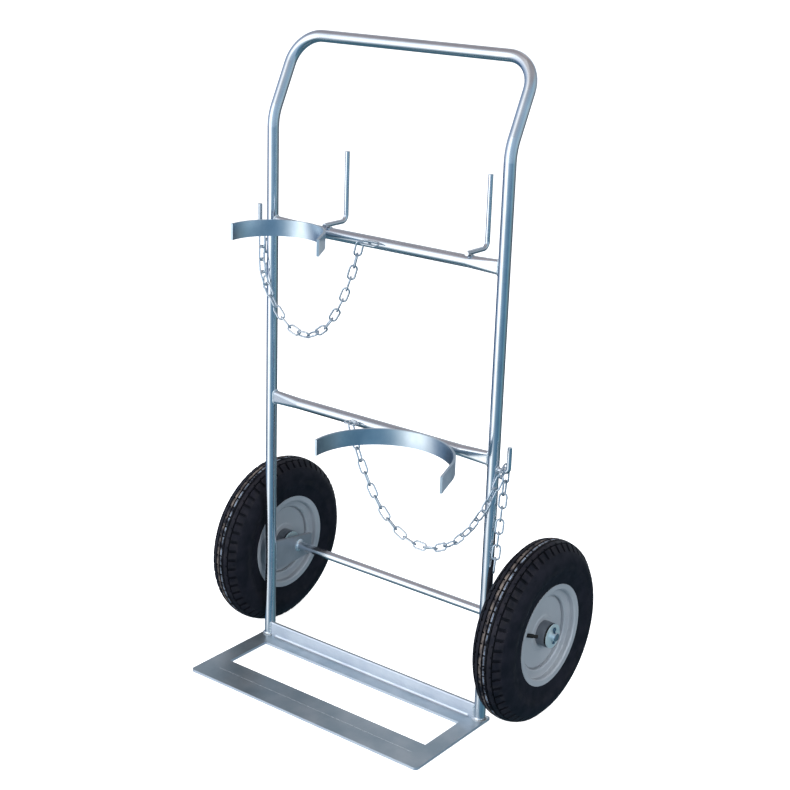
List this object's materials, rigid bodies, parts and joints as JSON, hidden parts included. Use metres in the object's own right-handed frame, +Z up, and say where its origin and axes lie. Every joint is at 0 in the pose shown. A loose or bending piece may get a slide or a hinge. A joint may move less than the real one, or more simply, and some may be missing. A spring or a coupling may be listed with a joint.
{
  "type": "gas cylinder trolley",
  "caption": "Upright tube trolley for gas cylinders, with a flat toe frame, cylinder rings, safety chains, hose hooks and pneumatic wheels on a fixed axle.",
  "frame": {"origin": "centre of the footprint, on the floor", "axes": "+X to the right as seen from the toe side, +Y to the rear, towards the wheels, +Z up"},
  "size_m": [0.839, 0.543, 1.3959],
  "materials": {
    "frame_zinc": "bright zinc plate, satin",
    "toe_zinc": "dull zinc plate",
    "chain_zinc": "bright zinc plate",
    "fastener_zinc": "bright zinc plate",
    "weld": "zinc plated weld bead",
    "wheel_paint": "light grey satin paint",
    "tyre_rubber": "matt black rubber",
    "black_rubber": "matt black rubber"
  },
  "bodies": {
    "frame": {"frame_tube": "frame_zinc", "upper_crossbar": "frame_zinc", "lower_crossbar": "frame_zinc", "toe_angle": "toe_zinc", "toe_left_bar": "toe_zinc", "toe_right_bar": "toe_zinc", "toe_front_bar": "toe_zinc", "toe_nose_bar": "toe_zinc", "foot_welds": "weld", "axle": "frame_zinc", "left_axle_bracket": "frame_zinc", "right_axle_bracket": "frame_zinc", "axle_welds": "weld", "left_spacer": "fastener_zinc", "right_spacer": "fastener_zinc", "upper_ring": "frame_zinc", "lower_ring": "frame_zinc", "left_hose_hook": "frame_zinc", "right_hose_hook": "frame_zinc", "upper_chain_hook": "frame_zinc", "lower_chain_hook": "frame_zinc", "upper_chain_anchor": "chain_zinc", "lower_chain_anchor": "chain_zinc", "upper_hooked_links": "chain_zinc", "lower_hooked_links": "chain_zinc", "left_washers": "fastener_zinc", "right_washers": "fastener_zinc", "left_split_pin": "fastener_zinc", "right_split_pin": "fastener_zinc"},
    "left_wheel": {"left_tyre": "tyre_rubber", "left_inner_tube": "black_rubber", "left_rim": "wheel_paint", "left_outer_disc": "wheel_paint", "left_inner_disc": "wheel_paint", "left_hub": "wheel_paint", "left_bearings": "black_rubber", "left_valve": "black_rubber"},
    "right_wheel": {"right_tyre": "tyre_rubber", "right_inner_tube": "black_rubber", "right_rim": "wheel_paint", "right_outer_disc": "wheel_paint", "right_inner_disc": "wheel_paint", "right_hub": "wheel_paint", "right_bearings": "black_rubber", "right_valve": "black_rubber"},
    "upper_chain": {"upper_chain": "chain_zinc"},
    "lower_chain": {"lower_chain": "chain_zinc"},
    "upper_tail": {"upper_chain_tail": "chain_zinc"},
    "lower_tail": {"lower_chain_tail": "chain_zinc"}
  },
  "joints": [
    {"name": "left_wheel_turns", "type": "hinge", "parent": "frame", "child": "left_wheel", "pos_m": [-0.365, 0.0715, 0.2], "axis": [1, 0, 0], "continuous": true},
    {"name": "right_wheel_turns", "type": "hinge", "parent": "frame", "child": "right_wheel", "pos_m": [0.365, 0.0715, 0.2], "axis": [1, 0, 0], "continuous": true},
    {"name": "upper_chain_swings", "type": "hinge", "parent": "frame", "child": "upper_chain", "pos_m": [-0.03375, -0.05415, 0.99], "axis": [-0.9929, 0.077, -0.0908], "range_deg": [0, 45]},
    {"name": "lower_chain_swings", "type": "hinge", "parent": "frame", "child": "lower_chain", "pos_m": [-0.04825, -0.05415, 0.595], "axis": [-0.9956, -0.0606, 0.0712], "range_deg": [0, 45]},
    {"name": "upper_tail_swings", "type": "hinge", "parent": "frame", "child": "upper_tail", "pos_m": [-0.32425, -0.01527, 0.9448], "axis": [-1, 0, 0], "range_deg": [-30, 20]},
    {"name": "lower_tail_swings", "type": "hinge", "parent": "frame", "child": "lower_tail", "pos_m": [0.32425, -0.01527, 0.5498], "axis": [-1, 0, 0], "range_deg": [0, 20]}
  ]
}
